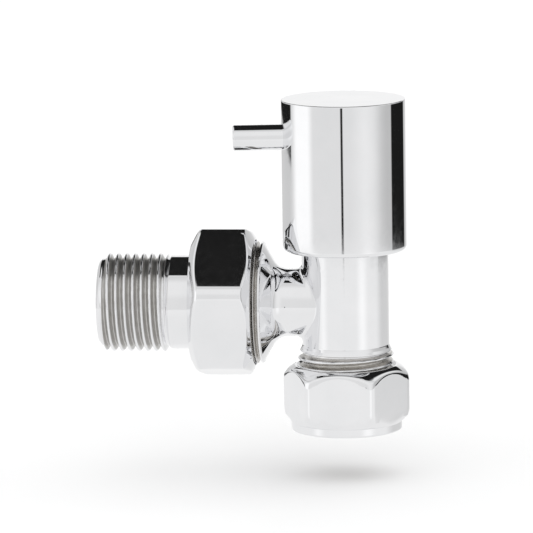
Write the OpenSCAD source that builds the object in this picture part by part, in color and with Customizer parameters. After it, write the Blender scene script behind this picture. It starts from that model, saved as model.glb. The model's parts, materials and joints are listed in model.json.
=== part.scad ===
// Angled lockshield radiator valve under a plain cylindrical cap with a lever pin.
// The origin is the middle of the pipe mouth, +Z runs up the spindle and -X runs out along the tail.
// Male threads are rings at their true diameters, and female threads are plain bores just clear of them.

/* [Pipe joint] */
// Bore that takes the 15 mm pipe
pipe_bore_d = 15.2; // [15.1:0.05:15.3]
// Width across the flats of the compression nut
nut_flats = 24; // [23.6:0.2:26]
// Height of the compression nut
nut_h = 14; // [13.8:0.1:14.2]
// Outside diameter of the thread that the compression nut turns on
pipe_thread_d = 20.4; // [20.2:0.1:20.8]

/* [Body] */
// Outside diameter of the upright tube
tube_d = 18.5; // [18.2:0.1:19]
// Height of the tail's axis above the pipe mouth
tail_z = 27.3; // [27:0.1:28]
// Height of the rim that the bonnet screws into
body_top = 43; // [42.8:0.1:43.4]
// Height of the raised seat that the plug closes on
seat_z = 20.5; // [20.2:0.1:20.8]
// Bore of the waterway through the seat and the neck
waterway_d = 9; // [8:0.2:9.2]
// Outside diameter of the neck between the tube and the union
neck_d = 14.4; // [13.8:0.1:15]

/* [Union] */
// Outside diameter of the union thread on the body
union_thread_d = 26.44; // [26.2:0.02:26.6]
// Distance from the spindle axis to the body's union face
union_face = 27.5; // [27:0.1:28]
// Width across the flats of the union nut
union_flats = 30; // [29:0.5:32]
// Distance from the spindle axis to the near face of the union nut
union_near = 19.2; // [19:0.1:19.6]
// Distance from the spindle axis to the far face of the union nut
union_far = 32.7; // [32.4:0.1:33.2]

/* [Radiator tail] */
// Outside diameter of the radiator thread
tail_thread_d = 20.955; // [20.9:0.005:21]
// Number of thread rings on the tail
tail_turns = 8; // [7:1:9]
// Distance from the spindle axis to the first thread ring
tail_thread_near = 37.4; // [37:0.1:38]
// Plain collar between the nut and the thread
tail_collar_d = 19.9; // [19.4:0.1:20.2]
// Width across the flats of the key socket inside the tail
tail_key_flats = 12; // [11:0.5:12.5]

/* [Bonnet and spindle] */
// Width across the flats of the bonnet
bonnet_flats = 19; // [17:0.5:19.5]
// Diameter of the spindle's shank
spindle_d = 6; // [5.8:0.1:6.2]
// Outside diameter of the spindle's lifting thread
spindle_thread_d = 8; // [7.8:0.1:8.2]
// Width across the flats of the square that the key turns
key_square = 4.8; // [4.4:0.1:5]
// Height of the top of the spindle when the valve is shut
spindle_top = 64; // [62:0.5:64]

/* [Cap] */
// Outside diameter of the cap
cap_d = 26.4; // [26:0.1:28]
// Height of the open lower edge of the cap
cap_bottom = 38.8; // [38:0.1:39.6]
// Height of the closed top of the cap
cap_top = 71.1; // [71:0.1:74]
// Thickness of the cap's side wall
cap_wall = 1.5; // [1.2:0.1:1.5]
// Thickness of the cap's top
cap_roof = 2.1; // [1.8:0.1:2.1]

/* [Lever pin] */
// Diameter of the lever pin
lever_d = 5.5; // [5:0.1:6]
// Distance from the spindle axis to the tip of the lever pin
lever_tip = 23.5; // [20:0.5:30]
// Height of the lever pin's axis
lever_z = 63.1; // [62.5:0.1:64]
// Direction of the lever pin around the cap, in degrees from +X
lever_angle = 187; // [150:1:210]

/* [Hidden] */
$fn = 96;

// Small spaces: between touching pieces, and past a face that is cut through
gap = 0.05;
cut = 1;

// 14 threads to the inch with a 55 degree form
pitch = 1.814;
thread_depth = 0.64 * pitch;
thread_corners = [[1, 1 / 12], [0, 5 / 12], [0, 7 / 12], [1, 11 / 12]];

// Pipe socket, with a 45 degree cone at its mouth and one in the nut to squeeze the olive
socket_r = pipe_bore_d / 2;
cone_depth = 1.2;
nut_cone_z = 2.2;
body_bottom = 6.9;
pipe_stop = 15.5;
olive_wall = 1.05;
olive_bottom = nut_cone_z + 0.35;
olive_top = body_bottom + cone_depth - 0.35;
nut_corner_r = nut_flats / 2 / cos(30);
nut_turned_r = nut_corner_r - 0.3;
nut_turned_by = -3.2;
nut_rim_r = 11.83;
nut_rim_h = 1.85;
nut_shoulder_r = 5.6;

// Body
tube_r = tube_d / 2;
pipe_thread_turns = 5;
pipe_thread_z = body_bottom + 0.2;
tube_foot_z = 17.1;
chamber_r = 6.9;
seat_lip_w = 1.1;
seat_lip_h = 1;
bonnet_r = 7.5;
bonnet_ledge = 34.5;
rim_r = 10.9;
rim_h = 2.5;
bonnet_ring_r = 0.72;
bonnet_ring_pocket = 1.6;

// Neck, flare and union thread, measured out along the tail
flare_angle = 60.6;
flare_fillet = 3.6;
flare_near = 14.32;
flare_r = 12.5;
union_thread_near = 19.3;
union_thread_turns = 4;
union_mouth_r = 9.6;
union_mouth_depth = 2.5;

// Tail, from its nose to its far end
nose_r = union_mouth_r - union_mouth_depth - 2 * gap;
nose_tip = union_face - union_mouth_depth - 0.8;
flange_r = 11.9;
flange_far = 30.5;
flange_near = union_face + 2 * gap;
union_ring_r = 0.8;
union_ring_at = 10.6;
key_depth = 14;
tail_thread_r = tail_thread_d / 2;
tail_bore_r = 5.6;
tail_end = tail_thread_near + tail_turns * pitch + 0.65;

// Union nut
union_turned_r = union_flats / 2 / cos(30) - 0.47;
union_turned_by = -15;
union_near_r = 13.6;
union_far_r = 12.7;
union_chamfer = 28;
union_hole_r = 10.65;

// Plug and its washer, when the valve is shut
plug_washer_h = 2.4;
plug_washer_r = 5.7;
plug_z = seat_z + plug_washer_h + 2 * gap;
plug_disc_r = 5.9;
plug_disc_h = 1.6;
plug_hub_r = 4.2;
plug_top = seat_z + 8.7;
screw_r = 1.3;
screw_head_r = 2.6;
screw_head_h = 1.45;
plate_r = 3.4;
plate_h = 0.5;
nose_pin_r = 2.4;
snap_z = plug_z + 3.6;
snap_h = 0.5;
snap_depth = 0.4;

// Spindle and bonnet
spindle_r = spindle_d / 2;
spindle_thread_r = spindle_thread_d / 2;
spindle_thread_z = bonnet_ledge + 0.1;
spindle_thread_h = 6;
bonnet_flange_h = 4.5;
bonnet_flange_top = body_top + bonnet_flange_h;
bonnet_neck_r = 7;
bonnet_top = bonnet_flange_top + 6.5;
backseat_z = bonnet_flange_top - 2.3;
gland_z = backseat_z + 2;
gland_r = 5;
gland_ring_r = 0.9;
gland_washer_z = gland_z + 2 * gland_ring_r + 3 * gap;
gland_washer_h = 0.8;
packing_z = gland_washer_z + gland_washer_h + gap;
packing_h = 2.2;
gland_nut_z = packing_z + packing_h + gap;
gland_nut_flats = 11;
gland_nut_h = 3;
grip_ring_r = 0.7;
grip_z = bonnet_flange_top + 3.5;
grip_groove_depth = 0.8;
square_h = 6;

// Cap and lever pin
cap_r = cap_d / 2;
cap_bore_r = cap_r - cap_wall;
cap_top_edge = 0.7;
cap_bottom_edge = 1.1;
liner_z = bonnet_flange_top + 2 * gap;
liner_h = 9.9;
liner_bore_r = bonnet_neck_r + grip_ring_r;
liner_hub_w = 1.3;
liner_rim_w = 1.4;
liner_floor = 1.8;
liner_ribs = 6;
lever_r = lever_d / 2;
lever_seat = cap_r - 0.7;
lever_stud_r = 2;
lever_stud_end = 8.2;
lever_nut_flats = 7;
lever_nut_h = 2.6;

// Points along a round stretch of an outline
function arc(centre, radius, from, to, steps = 8) = [
    for (step = [0:steps])
        let (angle = from + (to - from) * step / steps)
            centre + radius * [cos(angle), sin(angle)]
];

// Outline of the rings that stand for a thread, from low to high
function thread_outline(crest_r, start, turns) = [
    for (turn = [0:turns - 1], corner = thread_corners)
        [crest_r - thread_depth * corner[0], start + (turn + corner[1]) * pitch]
];

// Turns an outline of [radius, height] points about Z
module turned(outline) {
    rotate_extrude() polygon(outline);
}

// A round bushing between two heights
module bushing(inner_r, outer_r, bottom, height) {
    turned([[inner_r, bottom], [outer_r, bottom], [outer_r, bottom + height], [inner_r, bottom + height]]);
}

// A ring of round wire
module wire_ring(centre_r, wire_r, z, turn = 360) {
    translate([0, 0, z])
        rotate_extrude(angle = turn)
            translate([centre_r, 0]) circle(wire_r, $fn = 32);
}

module hexagon(flats, bottom, height) {
    translate([0, 0, bottom]) cylinder(d = flats / cos(30), h = height, $fn = 6);
}

// Stands children along the tail, so that their +Z is the way out
module along_tail() {
    translate([0, 0, tail_z]) rotate([0, -90, 0]) children();
}

// Stands children along the lever pin, so that their +Z is the way out
module along_lever() {
    translate([0, 0, lever_z]) rotate([0, 0, lever_angle]) rotate([0, 90, 0]) children();
}

// --- Body ---

module upright_tube() {
    turned(concat(
        [[0, body_bottom], [pipe_thread_d / 2 - thread_depth, body_bottom]],
        thread_outline(pipe_thread_d / 2, pipe_thread_z, pipe_thread_turns),
        [
            [pipe_thread_d / 2 - thread_depth, tube_foot_z - 0.2],
            [tube_r + 0.55, tube_foot_z],
            [tube_r + 0.25, tube_foot_z + 1.1],
            [tube_r, tube_foot_z + 2],
            [tube_r, body_top - rim_h - rim_r + tube_r],
            [rim_r, body_top - rim_h],
            [rim_r, body_top],
            [0, body_top]
        ]
    ));
}

module union_branch() {
    fillet_start = flare_near - flare_fillet * tan(flare_angle / 2);
    fillet_r = neck_d / 2 + flare_fillet;
    cone_length = (flare_r - fillet_r + flare_fillet * cos(flare_angle)) / tan(flare_angle);
    flare_far = fillet_start + flare_fillet * sin(flare_angle) + cone_length;
    thread_r = union_thread_d / 2;
    root_r = thread_r - thread_depth;
    along_tail() turned(concat(
        [[0, 0], [neck_d / 2, 0]],
        [
            for (point = arc([fillet_r, fillet_start], flare_fillet, 180, 180 - flare_angle))
                point
        ],
        [
            [flare_r, flare_far],
            [flare_r + 0.45, flare_far + 0.15],
            [flare_r + 0.45, union_near - 0.7],
            [root_r, union_near - 0.4]
        ],
        thread_outline(thread_r, union_thread_near, union_thread_turns),
        [[root_r, union_face], [0, union_face]]
    ));
}

module valve_body() {
    waterway_r = waterway_d / 2;
    color("gainsboro") difference() {
        union() {
            upright_tube();
            union_branch();
        }
        turned([
            [0, body_bottom - cut],
            [socket_r + cone_depth, body_bottom - cut],
            [socket_r + cone_depth, body_bottom],
            [socket_r, body_bottom + cone_depth],
            [socket_r, pipe_stop],
            [waterway_r, pipe_stop],
            [waterway_r, seat_z],
            [waterway_r + seat_lip_w, seat_z],
            [waterway_r + seat_lip_w, seat_z - seat_lip_h],
            [chamber_r, seat_z - seat_lip_h],
            [chamber_r, bonnet_ledge],
            [bonnet_r + gap, bonnet_ledge],
            [bonnet_r + gap, body_top - bonnet_ring_pocket],
            [bonnet_r + 2 * bonnet_ring_r + 2 * gap, body_top - bonnet_ring_pocket],
            [bonnet_r + 2 * bonnet_ring_r + 2 * gap, body_top + cut],
            [0, body_top + cut]
        ]);
        along_tail() turned([
            [0, chamber_r - 2],
            [waterway_r, chamber_r - 2],
            [waterway_r, nose_tip - 0.5],
            [union_mouth_r - union_mouth_depth, nose_tip - 0.5],
            [union_mouth_r - union_mouth_depth, union_face - union_mouth_depth],
            [union_mouth_r, union_face],
            [union_mouth_r, union_face + cut],
            [0, union_face + cut]
        ]);
    }
}

// --- Bonnet and gland ---

module bonnet() {
    color("khaki") difference() {
        union() {
            bushing(0, bonnet_r, bonnet_ledge + 2 * gap, body_top - bonnet_ledge);
            intersection() {
                hexagon(bonnet_flats, body_top + gap, bonnet_flange_h - gap);
                turned([
                    [0, body_top],
                    [bonnet_flats / 2 + 2, body_top],
                    [bonnet_flats / 2 + 2, bonnet_flange_top - 1.2],
                    [bonnet_flats / 2 - 0.2, bonnet_flange_top],
                    [0, bonnet_flange_top]
                ]);
            }
            bushing(0, bonnet_neck_r, bonnet_flange_top - cut, bonnet_top - bonnet_flange_top + cut);
        }
        turned([
            [0, bonnet_ledge],
            [spindle_thread_r + gap, bonnet_ledge],
            [spindle_thread_r + gap, backseat_z],
            [spindle_r + gap, backseat_z],
            [spindle_r + gap, gland_z],
            [gland_r, gland_z],
            [gland_r, bonnet_top + cut],
            [0, bonnet_top + cut]
        ]);
        bushing(
            bonnet_neck_r - grip_groove_depth, bonnet_neck_r + cut,
            grip_z - grip_ring_r - 2 * gap, 2 * grip_ring_r + 4 * gap
        );
    }
}

module bonnet_o_ring() {
    color("dimgray") wire_ring(
        bonnet_r + bonnet_ring_r + gap, bonnet_ring_r, body_top - bonnet_ring_pocket / 2
    );
}

module spindle_o_ring() {
    color("dimgray") wire_ring(spindle_r + gap + gland_ring_r, gland_ring_r, gland_z + gap + gland_ring_r);
}

module gland_washer() {
    color("khaki") bushing(spindle_r + gap, gland_r - gap, gland_washer_z, gland_washer_h);
}

module gland_packing() {
    color("white") bushing(spindle_r + gap, gland_r - gap, packing_z, packing_h);
}

module gland_nut() {
    color("khaki") difference() {
        union() {
            bushing(0, gland_r - gap, gland_nut_z, bonnet_top + 4 * gap - gland_nut_z);
            hexagon(gland_nut_flats, bonnet_top + 4 * gap, gland_nut_h);
        }
        bushing(0, spindle_r + gap, gland_nut_z - cut, bonnet_top + gland_nut_h - gland_nut_z + 3 * cut);
    }
}

// --- Spindle and plug ---

module spindle() {
    square_z = spindle_top - square_h;
    color("khaki") union() {
        turned([
            [0, plug_z + 2.2],
            [nose_pin_r - 0.3, plug_z + 2.2],
            [nose_pin_r, plug_z + 2.5],
            [nose_pin_r, snap_z - gap],
            [nose_pin_r - snap_depth, snap_z - gap],
            [nose_pin_r - snap_depth, snap_z + snap_h + gap],
            [nose_pin_r, snap_z + snap_h + gap],
            [nose_pin_r, plug_top + 2 * gap],
            [spindle_thread_r - 0.6, plug_top + 2 * gap],
            [spindle_thread_r - 0.6, spindle_thread_z - 0.4],
            [spindle_thread_r, spindle_thread_z],
            [spindle_thread_r, spindle_thread_z + spindle_thread_h],
            [spindle_r, spindle_thread_z + spindle_thread_h],
            [spindle_r, square_z],
            [0, square_z]
        ]);
        intersection() {
            bushing(0, spindle_r, square_z - cut, square_h + cut);
            translate([0, 0, spindle_top - square_h / 2])
                cube([key_square, key_square, square_h + 4 * cut], center = true);
        }
    }
}

module plug_snap_ring() {
    inner_r = nose_pin_r - snap_depth + gap;
    color("silver") difference() {
        bushing(inner_r, nose_pin_r + gap + snap_depth, snap_z, snap_h);
        translate([0, -0.6, snap_z - cut]) cube([nose_pin_r + cut, 1.2, snap_h + 2 * cut]);
    }
}

module plug() {
    color("khaki") difference() {
        union() {
            bushing(0, plug_disc_r, plug_z, plug_disc_h);
            bushing(0, plug_hub_r, plug_z, plug_top - plug_z);
        }
        turned([
            [0, plug_z - cut],
            [screw_r + gap, plug_z - cut],
            [screw_r + gap, plug_z + 1.9],
            [nose_pin_r + gap, plug_z + 1.9],
            [nose_pin_r + gap, snap_z - gap],
            [nose_pin_r + snap_depth + 2 * gap, snap_z - gap],
            [nose_pin_r + snap_depth + 2 * gap, snap_z + snap_h + gap],
            [nose_pin_r + gap, snap_z + snap_h + gap],
            [nose_pin_r + gap, plug_top + cut],
            [0, plug_top + cut]
        ]);
    }
}

module plug_washer() {
    color("dimgray") bushing(screw_r + gap, plug_washer_r, seat_z + gap, plug_washer_h);
}

module washer_plate() {
    color("khaki") bushing(screw_r + gap, plate_r, seat_z - plate_h, plate_h);
}

module washer_screw() {
    head_top = seat_z - plate_h - gap;
    color("khaki") difference() {
        union() {
            bushing(0, screw_head_r, head_top - screw_head_h, screw_head_h);
            bushing(0, screw_r, head_top - gap, plug_z + 1.6 - head_top);
        }
        translate([0, 0, head_top - screw_head_h])
            cube([3 * screw_head_r, 0.8, screw_head_h], center = true);
    }
}

// --- Compression joint ---

module olive() {
    outer_r = socket_r + olive_wall;
    bevel = olive_wall - 0.3;
    color("khaki") turned([
        [socket_r, olive_bottom],
        [outer_r - bevel, olive_bottom],
        [outer_r, olive_bottom + bevel],
        [outer_r, olive_top - bevel],
        [outer_r - bevel, olive_top],
        [socket_r, olive_top]
    ]);
}

module compression_nut() {
    shoulder = [nut_corner_r - 5.25, nut_h - 5.1];
    shoulder_top = asin((nut_h - shoulder[1]) / nut_shoulder_r);
    shoulder_low = acos((nut_turned_r - shoulder[0]) / nut_shoulder_r);
    thread_bore_r = pipe_thread_d / 2 + gap;
    color("gainsboro") difference() {
        intersection() {
            union() {
                rotate([0, 0, nut_turned_by]) hexagon(nut_flats, nut_rim_h, nut_h - nut_rim_h);
                bushing(0, nut_rim_r, 0, nut_rim_h + cut);
            }
            turned(concat(
                [
                    [0, 0],
                    [nut_rim_r - 0.5, 0],
                    [nut_rim_r, 0.5],
                    [nut_rim_r, nut_rim_h],
                    [nut_turned_r, nut_rim_h + nut_turned_r - nut_rim_r]
                ],
                arc(shoulder, nut_shoulder_r, shoulder_low, shoulder_top),
                [[0, nut_h]]
            ));
        }
        turned([
            [0, -cut],
            [socket_r + 0.4, -cut],
            [socket_r + 0.4, 0],
            [socket_r, 0.4],
            [socket_r, nut_cone_z],
            [socket_r + cone_depth, nut_cone_z + cone_depth],
            [thread_bore_r, nut_cone_z + cone_depth],
            [thread_bore_r, nut_h - 0.3],
            [thread_bore_r + 0.3, nut_h],
            [thread_bore_r + 0.3, nut_h + cut],
            [0, nut_h + cut]
        ]);
    }
}

// --- Union and radiator tail ---

module union_o_ring() {
    color("dimgray") along_tail() wire_ring(union_ring_at, union_ring_r, union_face + gap + union_ring_r);
}

module tail() {
    collar_r = tail_collar_d / 2;
    color("gainsboro") along_tail() difference() {
        turned(concat(
            [
                [0, nose_tip],
                [nose_r, nose_tip],
                [nose_r, union_face - union_mouth_depth],
                [union_mouth_r - 2 * gap, union_face],
                [union_mouth_r - 2 * gap, flange_near],
                [flange_r, flange_near],
                [flange_r, flange_far],
                [collar_r, flange_far],
                [collar_r, tail_thread_near - 0.6],
                [tail_thread_r - thread_depth, tail_thread_near]
            ],
            thread_outline(tail_thread_r, tail_thread_near, tail_turns),
            [
                [tail_thread_r - thread_depth, tail_end - 0.6],
                [tail_thread_r - thread_depth - 0.6, tail_end],
                [0, tail_end]
            ]
        ));
        bushing(
            union_ring_at - union_ring_r - gap, union_ring_at + union_ring_r + gap,
            flange_near - cut, 2 * union_ring_r + cut
        );
        bushing(0, tail_bore_r, nose_tip - cut, tail_end - nose_tip + 2 * cut);
        hexagon(tail_key_flats, nose_tip - cut, key_depth + cut);
        turned([
            [0, tail_end - 1], [tail_bore_r, tail_end - 1], [tail_bore_r + 1, tail_end],
            [tail_bore_r + 1, tail_end + cut], [0, tail_end + cut]
        ]);
    }
}

module union_nut() {
    near_chamfer_h = (union_turned_r - union_near_r) * tan(union_chamfer);
    far_chamfer_h = (union_turned_r - union_far_r) * tan(union_chamfer);
    bore_r = union_thread_d / 2 + gap;
    color("gainsboro") along_tail() difference() {
        intersection() {
            rotate([0, 0, union_turned_by]) hexagon(union_flats, union_near, union_far - union_near);
            turned([
                [0, union_near],
                [union_near_r, union_near],
                [union_turned_r, union_near + near_chamfer_h],
                [union_turned_r, union_far - far_chamfer_h],
                [union_far_r, union_far],
                [0, union_far]
            ]);
        }
        turned([
            [0, union_near - cut],
            [bore_r + 0.2, union_near - cut],
            [bore_r, union_near + 0.2],
            [bore_r, flange_far + 2 * gap],
            [union_hole_r, flange_far + 2 * gap],
            [union_hole_r, union_far + cut],
            [0, union_far + cut]
        ]);
    }
}

// --- Cap ---

module cap_grip_ring() {
    color("silver") wire_ring(bonnet_neck_r - gap, grip_ring_r, grip_z, 330);
}

module cap_shell() {
    bottom_edge = [cap_r - cap_bottom_edge, cap_bottom + cap_bottom_edge];
    top_edge = [cap_r - cap_top_edge, cap_top - cap_top_edge];
    color("gainsboro") difference() {
        turned(concat(
            [[cap_bore_r, cap_bottom + 0.3], [cap_bore_r + 0.2, cap_bottom]],
            arc(bottom_edge, cap_bottom_edge, -90, 0),
            arc(top_edge, cap_top_edge, 0, 90),
            [[0, cap_top], [0, cap_top - cap_roof], [cap_bore_r, cap_top - cap_roof]]
        ));
        along_lever() bushing(0, lever_stud_r + gap, cap_bore_r - 2 * cut, 2 * cut + cap_wall);
        along_lever() bushing(0, lever_r + gap, lever_seat, 2 * cut);
    }
}

module cap_liner() {
    outer_r = cap_bore_r - gap;
    hub_r = liner_bore_r + gap + liner_hub_w;
    rim_h = liner_h - 2.5;
    color("whitesmoke") difference() {
        union() {
            bushing(liner_bore_r + gap, hub_r, liner_z, liner_h);
            bushing(hub_r - 0.1, outer_r, liner_z, liner_floor);
            bushing(outer_r - liner_rim_w, outer_r, liner_z, rim_h);
            for (rib = [0:liner_ribs - 1])
                rotate([0, 0, (rib + 0.5) * 360 / liner_ribs])
                    translate([hub_r - 0.3, -0.6, liner_z])
                        cube([outer_r - hub_r - 0.4, 1.2, rim_h]);
        }
        bushing(
            liner_bore_r, liner_bore_r + 0.35, grip_z - grip_ring_r - 0.1, 2 * grip_ring_r + 0.2
        );
    }
}

module lever_pin() {
    color("gainsboro") along_lever() turned([
        [0, lever_stud_end],
        [lever_stud_r - 0.3, lever_stud_end],
        [lever_stud_r, lever_stud_end + 0.3],
        [lever_stud_r, lever_seat + gap],
        [lever_r, lever_seat + gap],
        [lever_r, lever_tip - 0.5],
        [lever_r - 0.5, lever_tip],
        [0, lever_tip]
    ]);
}

module lever_nut() {
    color("silver") along_lever() difference() {
        hexagon(lever_nut_flats, lever_stud_end + 0.3, lever_nut_h);
        bushing(0, lever_stud_r + gap, lever_stud_end - cut, lever_nut_h + 3 * cut);
    }
}

valve_body();
bonnet();
bonnet_o_ring();
spindle_o_ring();
gland_washer();
gland_packing();
gland_nut();
spindle();
plug_snap_ring();
plug();
plug_washer();
washer_plate();
washer_screw();
olive();
compression_nut();
union_o_ring();
tail();
union_nut();
cap_grip_ring();
cap_shell();
cap_liner();
lever_pin();
lever_nut();
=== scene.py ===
"""Looks of the angled lockshield radiator valve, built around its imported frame.

Shapes are worked out in millimetres in the frame's own axes and written to Blender in metres.
"""

import json
import math

import bmesh
import bpy
import numpy as np
from mathutils import Matrix, Vector


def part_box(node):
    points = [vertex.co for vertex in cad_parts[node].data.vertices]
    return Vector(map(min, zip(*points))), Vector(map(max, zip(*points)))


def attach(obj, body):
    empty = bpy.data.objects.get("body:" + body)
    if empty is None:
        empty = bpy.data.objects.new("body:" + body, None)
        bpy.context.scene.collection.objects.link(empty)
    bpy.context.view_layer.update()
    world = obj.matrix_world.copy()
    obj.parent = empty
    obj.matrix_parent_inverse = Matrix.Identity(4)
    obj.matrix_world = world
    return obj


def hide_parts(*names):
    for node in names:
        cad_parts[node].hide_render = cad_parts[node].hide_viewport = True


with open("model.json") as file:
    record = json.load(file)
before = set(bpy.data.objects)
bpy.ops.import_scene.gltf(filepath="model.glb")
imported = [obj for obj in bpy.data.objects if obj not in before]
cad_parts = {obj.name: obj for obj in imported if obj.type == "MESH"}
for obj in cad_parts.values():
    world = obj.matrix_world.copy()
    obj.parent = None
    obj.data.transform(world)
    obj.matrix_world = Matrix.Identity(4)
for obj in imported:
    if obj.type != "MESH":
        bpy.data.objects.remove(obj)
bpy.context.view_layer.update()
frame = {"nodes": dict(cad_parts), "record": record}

MM = 0.001
TURN = 2 * math.pi
SECTOR = TURN / 6

# How close two points may lie before they are welded, and the shortest edge kept, in metres
WELD = 2e-7
SHORTEST_EDGE = 1e-7


# ---------------------------------------------------------------- sizes from the frame, in mm

def box_mm(node):
    low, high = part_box(node)
    return np.array(low) / MM, np.array(high) / MM


TAIL_LOW, TAIL_HIGH = box_mm("tail")
CAP_LOW, CAP_HIGH = box_mm("cap_shell")
NUT_LOW, NUT_HIGH = box_mm("compression_nut")
UNION_LOW, UNION_HIGH = box_mm("union_nut")
BODY_LOW, BODY_HIGH = box_mm("valve_body")
PIN_LOW, PIN_HIGH = box_mm("lever_pin")
TAIL_Z = (TAIL_LOW[2] + TAIL_HIGH[2]) / 2

# Threads: 14 to the inch, 55 degree form, right-handed
PITCH = 1.814
DEPTH = 0.64 * PITCH
ROWS_PER_TURN = 20
THREAD_PLAY = 0.1


# ---------------------------------------------------------------- mesh building

class Skin:
    """Grids of quads gathered in millimetres, then welded into one closed mesh."""

    def __init__(self):
        self.points = []
        self.faces = []
        self.total = 0

    def grid(self, rows, around=True, keep=None):
        """Quads between neighbouring rows. rows is (row, column, xyz); keep marks the cells to make."""
        rows = np.asarray(rows, float)
        count, width = rows.shape[:2]
        row = np.arange(count - 1)[:, None]
        column = np.arange(width if around else width - 1)[None, :]
        corner = self.total + row * width + column
        beside = self.total + row * width + (column + 1) % width
        cells = np.stack([corner, beside, beside + width, corner + width], -1)
        self.faces.append(cells[keep] if keep is not None else cells.reshape(-1, 4))
        self.points.append(rows.reshape(-1, 3))
        self.total += count * width

    def loop(self, rows):
        """A closed band: the last row joins the first again."""
        self.grid(np.concatenate([rows, rows[:1]]))

    def piece(self, name, place=None, sharp=32.0):
        """Welds the grids into an object. place is a 4 x 4 matrix in millimetres."""
        points = np.concatenate(self.points)
        if place is not None:
            place = np.array(place)
            points = points @ place[:3, :3].T + place[:3, 3]
        mesh = bpy.data.meshes.new(name)
        mesh.from_pydata((points * MM).tolist(), [], np.concatenate(self.faces).tolist())
        shape = bmesh.new()
        shape.from_mesh(mesh)
        bmesh.ops.remove_doubles(shape, verts=shape.verts, dist=WELD)
        bmesh.ops.dissolve_degenerate(shape, edges=shape.edges, dist=SHORTEST_EDGE)
        bmesh.ops.recalc_face_normals(shape, faces=shape.faces)
        shape.to_mesh(mesh)
        shape.free()
        mesh.shade_smooth()
        mesh.set_sharp_from_angle(angle=math.radians(sharp))
        obj = bpy.data.objects.new(name, mesh)
        bpy.context.scene.collection.objects.link(obj)
        return obj


def even_angles(count):
    return np.arange(count) * TURN / count


def ring(radius, height, angles):
    """One row of points round Z; radius and height are numbers or one value per angle."""
    row = np.empty((len(angles), 3))
    row[:, 0] = radius * np.cos(angles)
    row[:, 1] = radius * np.sin(angles)
    row[:, 2] = height
    return row


def rings(outline, angles):
    return np.array([ring(radius, height, angles) for radius, height in outline])


def rounded(corners, steps=7, hold=0.05):
    """An outline of (radius, height) points. A corner with a third number is rounded to that radius.

    steps is the stretches in each rounding; hold is how far past its ends one more point is set.
    """
    flat = [np.array(corner[:2], float) for corner in corners]
    outline = [tuple(flat[0])]
    for i in range(1, len(corners) - 1):
        point = flat[i]
        curve = corners[i][2] if len(corners[i]) > 2 else 0
        if not curve:
            outline.append(tuple(point))
            continue
        back = flat[i - 1] - point
        ahead = flat[i + 1] - point
        room = min(np.linalg.norm(back), np.linalg.norm(ahead))
        back = back / np.linalg.norm(back)
        ahead = ahead / np.linalg.norm(ahead)
        half = math.acos(max(-1.0, min(1.0, float(back @ ahead)))) / 2
        reach = curve / math.tan(half)
        middle = point + (back + ahead) / np.linalg.norm(back + ahead) * curve / math.sin(half)
        first = point + back * reach
        last = point + ahead * reach
        if room > reach + 2 * hold:
            outline.append(tuple(first + back * hold))
        start = math.atan2(*(first - middle)[::-1])
        sweep = math.atan2(*(last - middle)[::-1]) - start
        sweep = (sweep + math.pi) % TURN - math.pi
        for step in range(steps + 1):
            angle = start + sweep * step / steps
            outline.append(tuple(middle + curve * np.array([math.cos(angle), math.sin(angle)])))
        if room > reach + 2 * hold:
            outline.append(tuple(last + ahead * hold))
    outline.append(tuple(flat[-1]))
    return outline


def halved(outline):
    """The outline with one more point in the middle of each stretch."""
    points = []
    for a, b in zip(outline, outline[1:]):
        points += [a, ((a[0] + b[0]) / 2, (a[1] + b[1]) / 2)]
    return points + outline[-1:]


def smooth_step(value):
    """0 below 0 and 1 above 1, with a smooth rise between."""
    value = np.clip(value, 0, 1)
    return value * value * (3 - 2 * value)


def soft_min(a, b, blend):
    """The smaller of two radii, with the edge between them rounded over."""
    share = np.clip(0.5 + 0.5 * (b - a) / blend, 0, 1)
    return b * (1 - share) + a * share - blend * share * (1 - share)


# ---------------------------------------------------------------- threads

def thread_form(phase):
    """0 in the root and 1 on the crest of a right-handed thread, with both slightly rounded."""
    total = 0
    spread = (-0.045, -0.02, 0, 0.02, 0.045)
    for shift in spread:
        away = np.abs((phase + shift) % 1 - 0.5)
        total = total + np.clip((5 / 12 - away) * 3, 0, 1)
    return total / len(spread)


def screw_radius(angles, height, crest_r, start, end, turned=0.0, fade=0.9):
    """Radius of a male thread at one height, fading into its root at both ends."""
    body = smooth_step((height - start) / fade) * smooth_step((end - height) / fade)
    return crest_r - DEPTH + DEPTH * body * thread_form(height / PITCH - angles / TURN + turned)


def screw_heights(start, end):
    count = max(2, int(round((end - start) / PITCH * ROWS_PER_TURN)))
    return np.linspace(start, end, count + 1)


def male_thread(angles, crest_r, start, end, turned=0.0, fade=0.9):
    """Rows of a helical thread between two heights."""
    return np.array([
        ring(screw_radius(angles, height, crest_r, start, end, turned, fade), height, angles)
        for height in screw_heights(start, end)
    ])


def female_thread(angles, crest_r, start, end, turned=0.0):
    """Rows of the matching bore, from end down to start, clear of the male thread all round."""
    rows = []
    for height in screw_heights(start, end)[::-1]:
        form = thread_form(height / PITCH - angles / TURN + turned)
        mouth = 1 - smooth_step((end - height) / 0.6)
        radius = crest_r - DEPTH + DEPTH * np.maximum(form, mouth) + THREAD_PLAY
        rows.append(ring(np.minimum(radius, crest_r + 0.5 * THREAD_PLAY), height, angles))
    return np.array(rows)


# ---------------------------------------------------------------- hexagons

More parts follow.
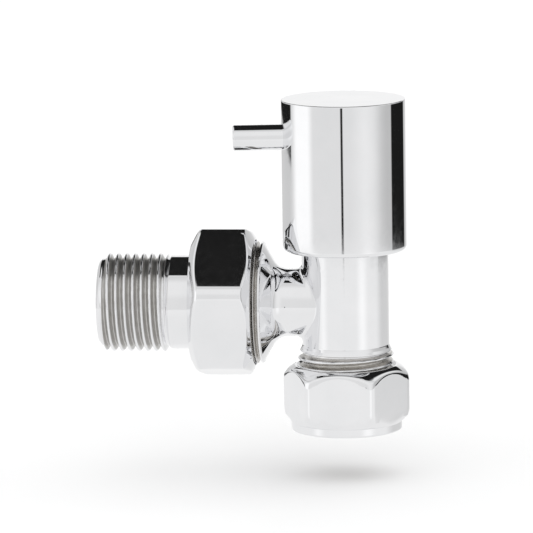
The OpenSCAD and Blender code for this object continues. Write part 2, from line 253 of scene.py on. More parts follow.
class Hexagon:
    """A hexagon about Z with rounded corners, and angles that lie close together at them."""

    def __init__(self, flats, corner_angle, corner_r, flat_steps=9, corner_steps=10):
        half = SECTOR / 2
        centre = (flats / 2 - corner_r) / math.cos(half)
        limit = math.atan2(corner_r * math.sin(half), centre + corner_r * math.cos(half))
        dense = limit * 1.15
        flat = np.linspace(-half, -dense, flat_steps)[:-1]
        corner = np.linspace(-dense, dense, corner_steps + 1)
        sector = np.concatenate([flat, corner, -flat[::-1]])[:-1]
        self.angles = np.concatenate([sector + corner_angle + i * SECTOR for i in range(6)])
        away = (self.angles - corner_angle + half) % SECTOR - half
        straight = flats / 2 / np.cos(np.abs(away) - half)
        inside = np.maximum(corner_r ** 2 - (centre * np.sin(away)) ** 2, 0)
        curved = centre * np.cos(away) + np.sqrt(inside)
        self.radius = np.where(np.abs(away) < limit, curved, straight)
        self.sharp_r = flats / 2 / math.cos(half)

    def cut(self, outline, blends):
        """Rows of the hexagon cut by a turned outline of (radius, height) points, lowest first.

        blends is how far the edge between them is rounded over, below and above the middle.
        """
        middle = (outline[0][1] + outline[-1][1]) / 2
        return np.array([
            ring(soft_min(self.radius, radius, blends[int(height > middle)]), height, self.angles)
            for radius, height in outline
        ])


# ---------------------------------------------------------------- the branch out of a round wall

WALL_COLUMNS = 108
OPENING_COLUMNS = 40
OPENING_ROWS = 32
BRANCH_COLUMNS = 2 * (OPENING_COLUMNS + OPENING_ROWS)
WALL_ANGLES = even_angles(WALL_COLUMNS)
BRANCH_ANGLES = even_angles(BRANCH_COLUMNS)


def pierced_wall(skin, wall_r, branch_r, blend_r, low, high):
    """A wall about Z with a branch out along -X, joined by a rolling-ball blend.

    Returns the row where the blend meets the branch, one point for each of BRANCH_ANGLES.
    """
    heights = np.linspace(low, high, OPENING_ROWS + 1)
    middle = WALL_COLUMNS // 2
    first = middle - OPENING_COLUMNS // 2
    last = middle + OPENING_COLUMNS // 2
    keep = np.ones((OPENING_ROWS, WALL_COLUMNS), bool)
    keep[:, first:last] = False
    skin.grid(np.array([ring(wall_r, z, WALL_ANGLES) for z in heights]), keep=keep)

    # The opening's frame, from the middle of its top towards +Y and round
    half_columns = OPENING_COLUMNS // 2
    path = [(middle - i, OPENING_ROWS) for i in range(half_columns)]
    path += [(first, OPENING_ROWS - i) for i in range(OPENING_ROWS)]
    path += [(first + i, 0) for i in range(OPENING_COLUMNS)]
    path += [(last, i) for i in range(OPENING_ROWS)]
    path += [(last - i, OPENING_ROWS) for i in range(half_columns)]
    edge_angle = np.array([WALL_ANGLES[column] for column, _ in path])
    edge_height = np.array([heights[row] for _, row in path])

    # Centres of a ball that touches the wall and the branch
    ball_y = (branch_r + blend_r) * np.sin(BRANCH_ANGLES)
    ball_z = (branch_r + blend_r) * np.cos(BRANCH_ANGLES)
    ball_x = -np.sqrt((wall_r + blend_r) ** 2 - ball_y ** 2)
    centre = np.stack([ball_x, ball_y, ball_z + TAIL_Z], -1)
    to_wall = np.stack([-ball_x, -ball_y, 0 * ball_z], -1) / (wall_r + blend_r)
    to_branch = np.stack([0 * ball_x, -ball_y, -ball_z], -1) / (branch_r + blend_r)

    hole_angle = np.arctan2(ball_y, ball_x) % TURN
    hole_height = ball_z + TAIL_Z
    patch = []
    for share in (0, 0.2, 0.4, 0.6, 0.8, 0.94, 1):
        angle = edge_angle + (hole_angle - edge_angle) * share
        height = edge_height + (hole_height - edge_height) * share
        patch.append(ring(wall_r, height, angle))
    skin.grid(np.array(patch))

    between = np.arccos(np.clip((to_wall * to_branch).sum(-1), -1, 1))[:, None]
    blend = []
    for share in np.linspace(0, 1, 11):
        aim = (np.sin((1 - share) * between) * to_wall + np.sin(share * between) * to_branch)
        blend.append(centre + blend_r * aim / np.sin(between))
    skin.grid(np.array(blend))
    return blend[-1]


# Local +Z of a piece made along the tail points out along -X, and its +X points up
ALONG_TAIL = Matrix.Translation((0, 0, TAIL_Z)) @ Matrix.Rotation(-TURN / 4, 4, "Y")


def tail_rings(rows):
    """Rows made along the tail, moved into the frame."""
    place = np.array(ALONG_TAIL)
    return rows @ place[:3, :3].T + place[:3, 3]


# ---------------------------------------------------------------- valve body

# Pipe socket, with a cone at its mouth and the nut's thread round it
BODY_BOTTOM = 6.9
SOCKET_R = 7.6
CONE_DEPTH = 1.2
PIPE_STOP = 15.5
PIPE_THREAD_R = 10.2
PIPE_THREAD_TURNED = 0.482

# Upright tube: seat, chamber and the rim that the bonnet screws into
FOOT_Z = 17.1
TUBE_R = 9.25
WATERWAY_R = 4.5
SEAT_Z = 20.5
SEAT_LIP_W = 1.1
SEAT_LIP_H = 1.0
CHAMBER_R = 6.9
BONNET_LEDGE = 34.5
BONNET_HOLE_R = 7.55
BODY_TOP = BODY_HIGH[2]
RIM_R = 10.9
RIM_FOOT = BODY_TOP - 2.5
RING_POCKET_R = 9.05
RING_POCKET_FLOOR = BODY_TOP - 1.6

# Heights between which the neck leaves the tube and the waterway leaves the chamber
NECK_WALL = (18.6, 36.2)
WATERWAY_WALL = (20.1, 34.3)

# Neck, flare and union thread, measured out along the tail
NECK_R = 7.2
NECK_BLEND = 1.3
WATERWAY_BLEND = 0.4
FLARE_NEAR = 14.32
FLARE_FILLET = 3.6
UNION_THREAD_R = 13.22
UNION_THREAD_START = 19.3
UNION_THREAD_TURNED = 0.0
UNION_FACE = 27.5
MOUTH_R = 9.6
MOUTH_DEPTH = 2.5
UNION_LEAD = 0.2
MOUTH_POCKET = 23.7


def upright(skin):
    """Everything about Z, with openings left for the branch. Returns the rows at both openings."""
    thread_start = BODY_BOTTOM + 0.1
    thread_end = FOOT_Z - 0.25
    root_r = PIPE_THREAD_R - DEPTH
    foot = rounded([
        (root_r, thread_end), (root_r + 0.1, FOOT_Z - 0.12), (TUBE_R + 0.55, FOOT_Z, 0.12),
        (TUBE_R + 0.2, FOOT_Z + 0.7, 0.9), (TUBE_R, FOOT_Z + 1.3, 0.5), (TUBE_R, NECK_WALL[0])
    ])
    top = rounded([
        (TUBE_R, NECK_WALL[1]), (TUBE_R, RIM_FOOT - (RIM_R - TUBE_R)), (RIM_R, RIM_FOOT, 0.2),
        (RIM_R, BODY_TOP, 0.25), (RING_POCKET_R, BODY_TOP, 0.15), (RING_POCKET_R, RING_POCKET_FLOOR),
        (BONNET_HOLE_R, RING_POCKET_FLOOR), (BONNET_HOLE_R, BONNET_LEDGE), (CHAMBER_R, BONNET_LEDGE),
        (CHAMBER_R, WATERWAY_WALL[1])
    ])
    lip_r = WATERWAY_R + SEAT_LIP_W
    inner = rounded([
        (CHAMBER_R, WATERWAY_WALL[0]), (CHAMBER_R, SEAT_Z - SEAT_LIP_H), (lip_r, SEAT_Z - SEAT_LIP_H),
        (lip_r, SEAT_Z, 0.2), (WATERWAY_R, SEAT_Z, 0.2), (WATERWAY_R, PIPE_STOP), (SOCKET_R, PIPE_STOP),
        (SOCKET_R, BODY_BOTTOM + CONE_DEPTH), (SOCKET_R + CONE_DEPTH, BODY_BOTTOM), (root_r, BODY_BOTTOM),
        (root_r, thread_start)
    ])
    skin.grid(male_thread(WALL_ANGLES, PIPE_THREAD_R, thread_start, thread_end, PIPE_THREAD_TURNED, 0.6))
    skin.grid(rings(foot, WALL_ANGLES))
    neck = pierced_wall(skin, TUBE_R, NECK_R, NECK_BLEND, *NECK_WALL)
    skin.grid(rings(top, WALL_ANGLES))
    bore = pierced_wall(skin, CHAMBER_R, WATERWAY_R, WATERWAY_BLEND, *WATERWAY_WALL)
    skin.grid(rings(inner, WALL_ANGLES))
    return neck, bore


def branch(skin, neck, bore):
    """The neck, flare and union thread, from the tube's opening round to the chamber's."""
    root_r = UNION_THREAD_R - DEPTH
    thread_end = UNION_FACE - UNION_LEAD
    # Past the flare's lip come the thread's first groove and crest, then the helix begins
    flare = rounded([
        (NECK_R, 11.6), (NECK_R, FLARE_NEAR, FLARE_FILLET), (12.4, 17.25, 0.3),
        (12.95, 17.35, 0.2), (12.95, 17.75, 0.15), (12.1, 18.05, 0.1), (12.1, 18.25, 0.1),
        (13.0, 18.6, 0.12), (13.0, 18.75, 0.12), (root_r, 19.1, 0.1), (root_r, UNION_THREAD_START)
    ], steps=12)
    thread = male_thread(
        BRANCH_ANGLES, UNION_THREAD_R, UNION_THREAD_START, thread_end, UNION_THREAD_TURNED
    )
    throat_r = MOUTH_R - MOUTH_DEPTH
    mouth = rounded([
        (root_r, thread_end), (root_r, UNION_FACE, 0.1), (MOUTH_R, UNION_FACE, 0.15),
        (throat_r, UNION_FACE - MOUTH_DEPTH), (throat_r, MOUTH_POCKET), (WATERWAY_R, MOUTH_POCKET, 0.2),
        (WATERWAY_R, 12)
    ])
    neck_hold = neck + np.array([-0.12, 0, 0])
    flare_rows = tail_rings(rings(flare, BRANCH_ANGLES))
    mouth_rows = tail_rings(rings(mouth, BRANCH_ANGLES))
    skin.grid(np.array([neck, neck_hold, flare_rows[0]]))
    skin.grid(flare_rows)
    skin.grid(tail_rings(thread))
    skin.grid(mouth_rows)
    skin.grid(np.array([mouth_rows[-1], bore]))


def valve_body():
    skin = Skin()
    branch(skin, *upright(skin))
    return skin.piece("body_forging")


# ---------------------------------------------------------------- compression nut

NUT_FLATS = 24.0
NUT_CORNER = math.radians(-3.2)
NUT_CORNER_ROUND = 2.2
NUT_H = NUT_HIGH[2]
NUT_RIM_R = 11.83
NUT_RIM_H = 1.8
NUT_SHOULDER_R = 5.6
NUT_HOLE_R = 10.65
NUT_THREAD_LOW = 3.5
NUT_CONE_Z = 2.2


def compression_nut():
    hexagon = Hexagon(NUT_FLATS, NUT_CORNER, NUT_CORNER_ROUND)
    angles = hexagon.angles
    over = hexagon.sharp_r + 0.6
    slope_z = NUT_RIM_H + 0.1
    outline = halved(rounded([
        (11.2, 0), (NUT_RIM_R, 0, 0.45), (NUT_RIM_R, NUT_RIM_H, 0.1), (11.95, slope_z, 0.05),
        (over, slope_z + hexagon.sharp_r - 11.35)
    ]))
    shoulder_z = NUT_H - 5.1
    shoulder_x = hexagon.sharp_r - 5.25
    outline += [(over, z) for z in np.linspace(outline[-1][1], shoulder_z, 5)[1:]]
    top = math.asin((NUT_H - shoulder_z) / NUT_SHOULDER_R)
    outline += [
        (shoulder_x + NUT_SHOULDER_R * math.cos(angle), shoulder_z + NUT_SHOULDER_R * math.sin(angle))
        for angle in np.linspace(math.radians(4), top, 34)
    ]
    rim = rounded([(outline[-1][0], NUT_H), (NUT_HOLE_R, NUT_H, 0.12), (10.3, NUT_H - 0.35)])[1:]
    seat = rounded([
        (9.4, NUT_THREAD_LOW), (8.8, 3.4), (SOCKET_R, NUT_CONE_Z), (SOCKET_R, 0.4, 0.1), (8.0, 0, 0.1),
        (11.2, 0)
    ])[:-1]
    skin = Skin()
    skin.loop(np.concatenate([
        hexagon.cut(outline, (0.3, 0.5)),
        rings(rim, angles),
        female_thread(angles, PIPE_THREAD_R, NUT_THREAD_LOW, NUT_H - 0.4, PIPE_THREAD_TURNED),
        rings(seat, angles)
    ]))
    return skin.piece("pipe_nut")


# ---------------------------------------------------------------- union nut

UNION_FLATS = 30.0
UNION_CORNER = math.radians(-15)
UNION_CORNER_ROUND = 3.3
UNION_NEAR = -UNION_HIGH[0]
UNION_FAR = -UNION_LOW[0]
UNION_NEAR_R = 13.6
UNION_FAR_R = 12.7
UNION_SLOPE = math.tan(math.radians(28))
UNION_HOLE_R = 10.65
UNION_SHELF = 30.6
UNION_BORE_START = 20.2
UNION_BORE_END = 29.9


def union_nut():
    hexagon = Hexagon(UNION_FLATS, UNION_CORNER, UNION_CORNER_ROUND)
    angles = hexagon.angles
    over = hexagon.sharp_r + 0.5
    near_w = over - UNION_NEAR_R
    far_w = over - UNION_FAR_R
    near = [
        (UNION_NEAR_R + near_w * share, UNION_NEAR + near_w * share * UNION_SLOPE)
        for share in np.linspace(0, 1, 26)
    ]
    far = [
        (over - far_w * share, UNION_FAR - far_w * (1 - share) * UNION_SLOPE)
        for share in np.linspace(0, 1, 30)
    ]
    flats = [(over, z) for z in np.linspace(near[-1][1], far[0][1], 6)[1:-1]]
    back = rounded([
        (UNION_FAR_R - 0.3, UNION_FAR), (UNION_HOLE_R, UNION_FAR, 0.25), (UNION_HOLE_R, UNION_SHELF, 0.1),
        (UNION_THREAD_R, UNION_SHELF), (UNION_THREAD_R, UNION_BORE_END + 0.1)
    ])
    mouth = [(UNION_THREAD_R + 0.05, UNION_BORE_START - 0.1), (13.35, UNION_NEAR)]
    skin = Skin()
    skin.loop(np.concatenate([
        hexagon.cut(near + flats + far, (0.5, 1.2)),
        rings(back, angles),
        female_thread(angles, UNION_THREAD_R, UNION_BORE_START, UNION_BORE_END, UNION_THREAD_TURNED),
        rings(mouth, angles)
    ]))
    return skin.piece("coupling_nut", ALONG_TAIL)


# ---------------------------------------------------------------- radiator tail

TAIL_END = -TAIL_LOW[0]
TAIL_THREAD_R = 10.4775
TAIL_THREAD_START = 37.5
TAIL_TURNED = -0.283
TAIL_COLLAR_R = 9.95
TAIL_COLLAR_END = 37.1
TAIL_BORE_R = 5.6
NOSE_R = 7.0
NOSE_TIP = 24.2
NOSE_LEAD_R = 6.6
FLANGE_R = 11.9
FLANGE_NEAR = 27.6
FLANGE_FAR = 30.5
KEY_FLATS = 12.0
KEY_END = 38.2

# Groove for the union's O-ring in the face of the flange
RING_GROOVE_INNER = 9.75
RING_GROOVE_OUTER = 11.45
RING_GROOVE_FLOOR = 29.2


def tail():
    angles = even_angles(120)
    thread_end = TAIL_END - 0.85
    root_r = TAIL_THREAD_R - DEPTH
    nose = rounded([
        (NOSE_LEAD_R, NOSE_TIP), (NOSE_R, NOSE_TIP, 0.15), (NOSE_R, UNION_FACE - MOUTH_DEPTH),
        (9.5, UNION_FACE), (9.5, FLANGE_NEAR), (RING_GROOVE_INNER, FLANGE_NEAR, 0.08),
        (RING_GROOVE_INNER, RING_GROOVE_FLOOR), (RING_GROOVE_OUTER, RING_GROOVE_FLOOR),
        (RING_GROOVE_OUTER, FLANGE_NEAR, 0.08), (FLANGE_R, FLANGE_NEAR, 0.15), (FLANGE_R, FLANGE_FAR, 0.2),
        (TAIL_COLLAR_R, FLANGE_FAR), (TAIL_COLLAR_R, TAIL_COLLAR_END, 0.15),
        (root_r + 0.2, TAIL_THREAD_START)
    ])
    far = rounded([
        (root_r, thread_end), (root_r, TAIL_END - 0.6, 0.3), (8.6, TAIL_END, 0.15), (6.6, TAIL_END, 0.1),
        (TAIL_BORE_R, TAIL_END - 1), (TAIL_BORE_R, KEY_END)
    ])[1:]
    socket_r = KEY_FLATS / 2 / np.cos((angles + SECTOR / 2) % SECTOR - SECTOR / 2)
    socket = [ring(socket_r, z, angles) for z in (KEY_END, KEY_END - 0.1, 31, NOSE_TIP + 0.7)]
    socket.append(ring(np.maximum(socket_r, NOSE_LEAD_R), NOSE_TIP, angles))
    skin = Skin()
    skin.loop(np.concatenate([
        rings(nose, angles),
        male_thread(angles, TAIL_THREAD_R, TAIL_THREAD_START, thread_end, TAIL_TURNED, 0.6),
        rings(far, angles),
        np.array(socket)
    ]))
    return skin.piece("radiator_tail", ALONG_TAIL)


# ---------------------------------------------------------------- cap and lever pin

CAP_R = (CAP_HIGH[0] - CAP_LOW[0]) / 2
CAP_BOTTOM = CAP_LOW[2]
CAP_TOP = CAP_HIGH[2]
CAP_BORE_R = CAP_R - 1.5
CAP_ROOF_Z = CAP_TOP - 2.1
LEVER_R = (PIN_HIGH[2] - PIN_LOW[2]) / 2
LEVER_Z = (PIN_HIGH[2] + PIN_LOW[2]) / 2
LEVER_ANGLE = math.radians(187)
LEVER_TIP = 23.5
LEVER_SEAT = CAP_R - 0.65
LEVER_STUD_R = 2.0
LEVER_STUD_START = 8.2

# Local +Z of a piece made along the lever pin points out of the cap
ALONG_LEVER = (
    Matrix.Translation((0, 0, LEVER_Z))
    @ Matrix.Rotation(LEVER_ANGLE, 4, "Z")
    @ Matrix.Rotation(TURN / 4, 4, "Y")
)


def cap_shell():
    angles = even_angles(192)
    outline = rounded([
        (0, CAP_ROOF_Z), (CAP_BORE_R, CAP_ROOF_Z, 0.4), (CAP_BORE_R, CAP_BOTTOM + 0.3),
        (CAP_BORE_R + 0.2, CAP_BOTTOM), (CAP_R, CAP_BOTTOM, 1.0), (CAP_R, CAP_TOP, 0.25), (0, CAP_TOP)
    ], steps=10)
    skin = Skin()
    skin.grid(rings(outline, angles))
    return skin.piece("cap_cover")


def lever_pin():
    outline = rounded([
        (0, LEVER_STUD_START), (LEVER_STUD_R - 0.3, LEVER_STUD_START),
        (LEVER_STUD_R, LEVER_STUD_START + 0.3), (LEVER_STUD_R, LEVER_SEAT), (LEVER_R, LEVER_SEAT),
        (LEVER_R, LEVER_TIP, 0.45), (0, LEVER_TIP)
    ])
    skin = Skin()
    skin.grid(rings(outline, even_angles(72)))
    return skin.piece("lever_bar", ALONG_LEVER)


# ---------------------------------------------------------------- node arithmetic

class Number:
    """A node socket that can be added, multiplied and compared like a number."""

    def __init__(self, tree, socket):
        self.tree = tree
        self.socket = socket

    def apply(self, operation, *others):
        """The result of a math node, by the name of its operation."""
        node = self.tree.nodes.new("ShaderNodeMath")
        node.operation = operation
        for slot, value in enumerate((self,) + others):
            if isinstance(value, Number):
                self.tree.links.new(value.socket, node.inputs[slot])
            else:
                node.inputs[slot].default_value = value
        return Number(self.tree, node.outputs[0])

    def __add__(self, other):
        return self.apply("ADD", other)

    def __sub__(self, other):
        return self.apply("SUBTRACT", other)

    def __mul__(self, other):
        return self.apply("MULTIPLY", other)

    def maximum(self, other):
        return self.apply("MAXIMUM", other)

    def spread(self, low, high, to_low, to_high, rise="LINEAR"):
        """Carries the span low..high onto to_low..to_high, held at both ends."""
        node = self.tree.nodes.new("ShaderNodeMapRange")
        node.interpolation_type = rise
        self.tree.links.new(self.socket, node.inputs["Value"])
        spans = {"From Min": low, "From Max": high, "To Min": to_low, "To Max": to_high}
        for name, value in spans.items():
            node.inputs[name].default_value = value
        return Number(self.tree, node.outputs["Result"])

    def inverse(self):
        """One minus the value."""
        return (self * -1.0) + 1.0

    def step(self, low, high):
        """0 below low and 1 above high, with a smooth rise between."""
        return self.spread(low, high, 0.0, 1.0, "SMOOTHSTEP")

    def band(self, low, high, soft):
        """1 between low and high, fading out over soft at each side."""
        return self.step(low - soft, low + soft) * self.step(high - soft, high + soft).inverse()


def new_node(tree, kind, **inputs):
    node = tree.nodes.new(kind)
    for name, value in inputs.items():
        node.inputs[name.replace("_", " ")].default_value = value
    return node


def ramp(tree, number, stops):
    """A colour ramp from (position, grey or colour) stops."""
    node = tree.nodes.new("ShaderNodeValToRGB")
    tree.links.new(number.socket, node.inputs[0])
    elements = node.color_ramp.elements
    while len(elements) < len(stops):
        elements.new(0.5)
    for element, (position, colour) in zip(elements, stops):
        element.position = position
        element.color = (*colour, 1) if isinstance(colour, tuple) else (colour, colour, colour, 1)
    return node.outputs[0]


# ---------------------------------------------------------------- materials

def noise(tree, scale, detail=3.0, roughness=0.5):
    """Noise in object space, with scale in features per metre."""
    place = tree.nodes.new("ShaderNodeTexCoord")
    node = new_node(tree, "ShaderNodeTexNoise", Scale=scale, Detail=detail, Roughness=roughness)
    tree.links.new(place.outputs["Object"], node.inputs["Vector"])
    return Number(tree, node.outputs["Fac"])


def tint_between(tree, share, first, second):
    """A colour part way between two colours or sockets."""
    node = tree.nodes.new("ShaderNodeMix")
    node.data_type = "RGBA"
    tree.links.new(share.socket, node.inputs["Factor"])
    for slot, colour in (("A", first), ("B", second)):
        socket = next(item for item in node.inputs if item.name == slot and item.type == "RGBA")
        if isinstance(colour, tuple):
            socket.default_value = (*colour, 1)
        else:
            tree.links.new(colour, socket)
    return next(item for item in node.outputs if item.type == "RGBA")


def surface(name, metallic, colours, roughness, grain, relief, patches=120.0, grooves=None):
    """A procedural finish.

    colours and roughness are (low, high) over soft patches; grain and relief set the bump.
    grooves gives a thread's rougher flanks, darkened with painted shade: (mask function, colour, roughness).
    """
    material = bpy.data.materials.new(name)
    material.use_nodes = True
    tree = material.node_tree
    shader = tree.nodes["Principled BSDF"]
    shader.inputs["Metallic"].default_value = metallic
    tint = ramp(tree, noise(tree, patches), [(0.3, colours[0]), (0.7, colours[1])])
    rough = noise(tree, patches * 7, detail=5.0).spread(0.3, 0.7, *roughness)
    if grooves:
        # In the grooves: a rougher finish, and a darker colour that is painted shade
        mask, colour, dull = grooves
        share = mask(tree) * noise(tree, 900.0, detail=4.0).spread(0.25, 0.75, 0.75, 1.0)
        tint = tint_between(tree, share, tint, colour)
        rough = rough * share.inverse() + share * dull
    tree.links.new(tint, shader.inputs["Base Color"])
    tree.links.new(rough.socket, shader.inputs["Roughness"])
    bump = new_node(tree, "ShaderNodeBump", Strength=0.5, Distance=relief)
    tree.links.new(noise(tree, grain).socket, bump.inputs["Height"])
    tree.links.new(bump.outputs["Normal"], shader.inputs["Normal"])
    return material


def place_mm(tree):
    """Object position in millimetres, as three numbers."""
    split = tree.nodes.new("ShaderNodeSeparateXYZ")
    place = tree.nodes.new("ShaderNodeTexCoord")
    tree.links.new(place.outputs["Object"], split.inputs[0])
    return tuple(Number(tree, split.outputs[axis]) * (1 / MM) for axis in "XYZ")


def radius_of(a, b):
    return (a * a + b * b).apply("SQRT")


def tail_groove_shade(tree):
    """Painted shade: 1 in the grooves of the radiator thread, 0 on its crests, on the collar and in the bore.
    """
    x, y, z = place_mm(tree)
    radius = radius_of(y, z - TAIL_Z)
    below_crest = radius.step(TAIL_THREAD_R - 0.42, TAIL_THREAD_R - 0.2).inverse()
    length = x.band(1.3 - TAIL_END, -1.0 - TAIL_THREAD_START, 0.15)
    return below_crest * length * radius.step(8.4, 8.6)


def body_groove_shade(tree):
    """Painted shade: 1 in the grooves of the body's two threads and on the faces and bores at those ends."""
    x, y, z = place_mm(tree)
    pipe_r = radius_of(x, y)
    pipe = pipe_r.step(PIPE_THREAD_R - 0.35, PIPE_THREAD_R - 0.15).inverse()
    pipe = pipe * z.step(FOOT_Z - 0.6, FOOT_Z - 0.3).inverse()
    union_r = radius_of(y, z - TAIL_Z)
    union = union_r.step(UNION_THREAD_R - 0.3, UNION_THREAD_R - 0.1).inverse()
    union = union * x.step(-18.1, -17.8).inverse()
    return pipe.maximum(union)


METAL = 1.0
PLAIN = 0.0
CHROME_TONES = ((0.87, 0.875, 0.885), (0.91, 0.91, 0.92))
CHROME_POLISH = (0.02, 0.045)
THREAD_POLISH = (0.03, 0.07)
CHROME_GRAIN = 1500.0

CHROME = surface("chrome_plate", METAL, CHROME_TONES, CHROME_POLISH, CHROME_GRAIN, 2e-7)
# In the body's thread grooves and end bores: a rougher finish, and a darker grey that is painted shade
CHROME_BODY = surface(
    "chrome_plate_body", METAL, CHROME_TONES, CHROME_POLISH, CHROME_GRAIN, 2e-7,
    grooves=(body_groove_shade, (0.55, 0.53, 0.50), 0.28)
)
# In the radiator thread's grooves: a rougher finish, and a darker grey that is painted shade
CHROME_THREAD = surface(
    "chrome_thread", METAL, CHROME_TONES, THREAD_POLISH, CHROME_GRAIN, 4e-7,
    grooves=(tail_groove_shade, (0.56, 0.55, 0.53), 0.36)
)
BRASS = surface(
    "machined_brass", METAL, ((0.74, 0.55, 0.26), (0.84, 0.66, 0.36)), (0.2, 0.34), 3000.0, 4e-6
)
STEEL = surface(
    "spring_steel", METAL, ((0.50, 0.51, 0.52), (0.62, 0.62, 0.63)), (0.2, 0.32), 3500.0, 3e-6
)
RUBBER = surface(
    "black_rubber", PLAIN, ((0.016, 0.016, 0.017), (0.03, 0.03, 0.031)), (0.5, 0.72), 2500.0, 1e-5
)
PTFE = surface(
    "white_ptfe", PLAIN, ((0.80, 0.80, 0.78), (0.88, 0.88, 0.87)), (0.3, 0.45), 1800.0, 8e-6
)
NYLON = surface(
    "natural_nylon", PLAIN, ((0.74, 0.73, 0.68), (0.82, 0.81, 0.77)), (0.35, 0.5), 1500.0, 8e-6
)

FINISHES = {
    "chrome_plate": CHROME, "chrome_thread": CHROME_THREAD, "brass": BRASS, "spring_steel": STEEL,
    "rubber": RUBBER, "ptfe": PTFE, "nylon": NYLON
}


# ---------------------------------------------------------------- the studio

WALL = 0.8
TABLE = 0.9
CEILING = 0.88
BACKDROP = 0.95
CARD_BLACK = 0.012
SOFT_LIGHT = 1.22

# Panels seen in the gloss, each (from, to, softness of its edges, brightness), in degrees.
# Bearings run from 0 in front of the valve to 90 on its right and -90 on its left.
WALL_PANELS = [(-170, -110, 10, 0.65), (75, 165, 20, 0.55), (-100, -60, 8, 1.1), (30, 60, 20, 0.9)]
TABLE_PANELS = [(105, 165, 15, 0.68), (-65, -50, 10, 1.05), (40, 60, 10, 1.05)]
# Angles up from the front and over, so that this one lies just in front of the ceiling card
CEILING_PANELS = [(65, 80, 10, 0.7)]


def lit(tone, share, level):
    """Lays a panel of one brightness over a tone, wherever share is 1."""
    return share.inverse() * tone + share * level


def lay_panels(tone, bearing, panels):
    for low, high, soft, level in panels:
        tone = lit(tone, bearing.band(low, high, soft), level)
    return tone


def black_cards(x, side, height, over, above_table):
    """1 where the gloss sees a black card."""
    right = side.band(104, 152, 1.5) * above_table * height.step(2, 8).inverse()
    slot = side.band(-1, 3, 1) * above_table * height.step(-7, -5).inverse()
    slant = height + (side + 150.0) * 0.012
    left = side.band(-175, -110, 2) * slant.step(-8.0, -7.9) * height.step(-6, -3).inverse()
    ceiling = over.band(79, 160, 1) * x.apply("ABSOLUTE").step(0.45, 0.62).inverse()
    return right.maximum(slot).maximum(left).maximum(ceiling)


def studio_world():
    """White all round for the camera and for soft light; gloss sees grey walls, soft boxes and cards."""
    world = bpy.data.worlds.new("studio")
    bpy.context.scene.world = world
    world.use_nodes = True
    tree = world.node_tree
    background = tree.nodes["Background"]
    place = tree.nodes.new("ShaderNodeTexCoord")
    split = tree.nodes.new("ShaderNodeSeparateXYZ")
    tree.links.new(place.outputs["Generated"], split.inputs[0])
    x, y, z = (Number(tree, split.outputs[axis]) for axis in "XYZ")
    degrees = 360 / TURN
    side = x.apply("ARCTAN2", y * -1.0) * degrees
    height = z.apply("ARCSINE") * degrees
    over = z.apply("ARCTAN2", y * -1.0) * degrees

    backdrop = side.apply("ABSOLUTE").step(165, 175)
    above_table = height.step(-9.5, -9.25)
    steep = height.apply("ABSOLUTE").step(13, 32)
    room = lit(lay_panels(WALL, side, WALL_PANELS), backdrop, BACKDROP)
    table = lay_panels(TABLE, side, TABLE_PANELS)
    overhead = lit(lay_panels(CEILING, over, CEILING_PANELS), backdrop, BACKDROP)
    tone = (room * above_table + table * above_table.inverse()) * steep.inverse() + overhead * steep
    studio = lit(tone, black_cards(x, side, height, over, above_table), CARD_BLACK)

    path = tree.nodes.new("ShaderNodeLightPath")
    gloss = Number(tree, path.outputs["Is Glossy Ray"])
    light = studio * gloss + gloss.inverse() * SOFT_LIGHT
    tree.links.new(light.socket, background.inputs["Strength"])
    background.inputs["Color"].default_value = (1, 1, 1, 1)


# Half the floor's width and its height, both in metres
FLOOR_REACH = 3.0
FLOOR_Z = -0.010


def floor():
    """A wide pale floor, a little below the pipe mouth so that the nut can be run down its pipe."""
    skin = Skin()
    steps = np.linspace(-FLOOR_REACH, FLOOR_REACH, 25) / MM
    skin.grid(np.array([[(a, b, FLOOR_Z / MM) for a in steps] for b in steps]), around=False)
    obj = skin.piece("floor")
    pale = surface(
        "pale_floor", PLAIN, ((0.91, 0.91, 0.91), (0.93, 0.93, 0.93)), (0.6, 0.7), 300.0, 1e-5, 3.0
    )
    obj.data.materials.append(pale)
    obj.visible_glossy = False


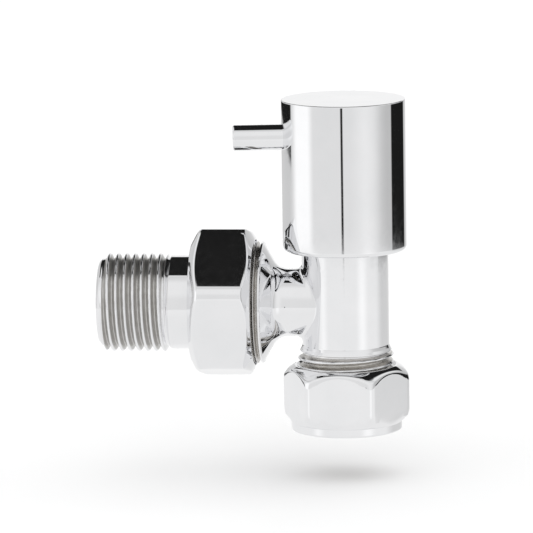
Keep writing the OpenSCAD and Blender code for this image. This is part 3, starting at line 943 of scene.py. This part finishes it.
# Where the camera stands and what it looks at: angles in degrees, lengths in mm
CAMERA_AZIMUTH = 5.474
CAMERA_ELEVATION = 9.502
CAMERA_ROLL = -0.836
CAMERA_TARGET = (-16.802, 0, 35.011)
CAMERA_DISTANCE = 1150.7
SENSOR_MM = 36
FOCAL_MM = SENSOR_MM * 10.1233


def camera():
    """A long lens, a little above and to the right of the valve."""
    azimuth = math.radians(CAMERA_AZIMUTH)
    elevation = math.radians(CAMERA_ELEVATION)
    roll = math.radians(CAMERA_ROLL)
    target = Vector(CAMERA_TARGET) * MM
    back = Vector((
        math.sin(azimuth) * math.cos(elevation), -math.cos(azimuth) * math.cos(elevation), math.sin(elevation)
    ))
    right = (-back).cross(Vector((0, 0, 1))).normalized()
    up = back.cross(right)
    across = math.cos(roll) * right + math.sin(roll) * up
    upward = -math.sin(roll) * right + math.cos(roll) * up
    lens = bpy.data.cameras.new("camera")
    lens.sensor_width = SENSOR_MM
    lens.lens = FOCAL_MM
    lens.clip_start = 0.05
    lens.clip_end = 20
    obj = bpy.data.objects.new("camera", lens)
    turn = Matrix((across, upward, back)).transposed().to_4x4()
    obj.matrix_world = Matrix.Translation(target + back * CAMERA_DISTANCE * MM) @ turn
    bpy.context.scene.collection.objects.link(obj)
    bpy.context.scene.camera = obj


# ---------------------------------------------------------------- assembly

def dress(obj, body, node, slot_name, finish=None):
    """Puts a detailed piece in a CAD node's place."""
    obj.data.materials.append(finish or FINISHES[slot_name])
    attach(obj, body)
    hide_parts(node)


camera()
studio_world()
floor()
dress(valve_body(), "valve", "valve_body", "chrome_plate", CHROME_BODY)
dress(compression_nut(), "compression_nut", "compression_nut", "chrome_plate")
dress(union_nut(), "union_nut", "union_nut", "chrome_plate")
dress(tail(), "tail", "tail", "chrome_thread")
dress(cap_shell(), "cap", "cap_shell", "chrome_plate")
dress(lever_pin(), "cap", "lever_pin", "chrome_plate")

REPLACED = {"valve_body", "compression_nut", "union_nut", "tail", "cap_shell", "lever_pin"}
for part in frame["record"]["subparts"]:
    if part["node"] not in REPLACED:
        node_mesh = frame["nodes"][part["node"]].data
        node_mesh.materials.clear()
        node_mesh.materials.append(FINISHES[part["material_slot"]])

bpy.context.scene.view_settings.view_transform = "Standard"
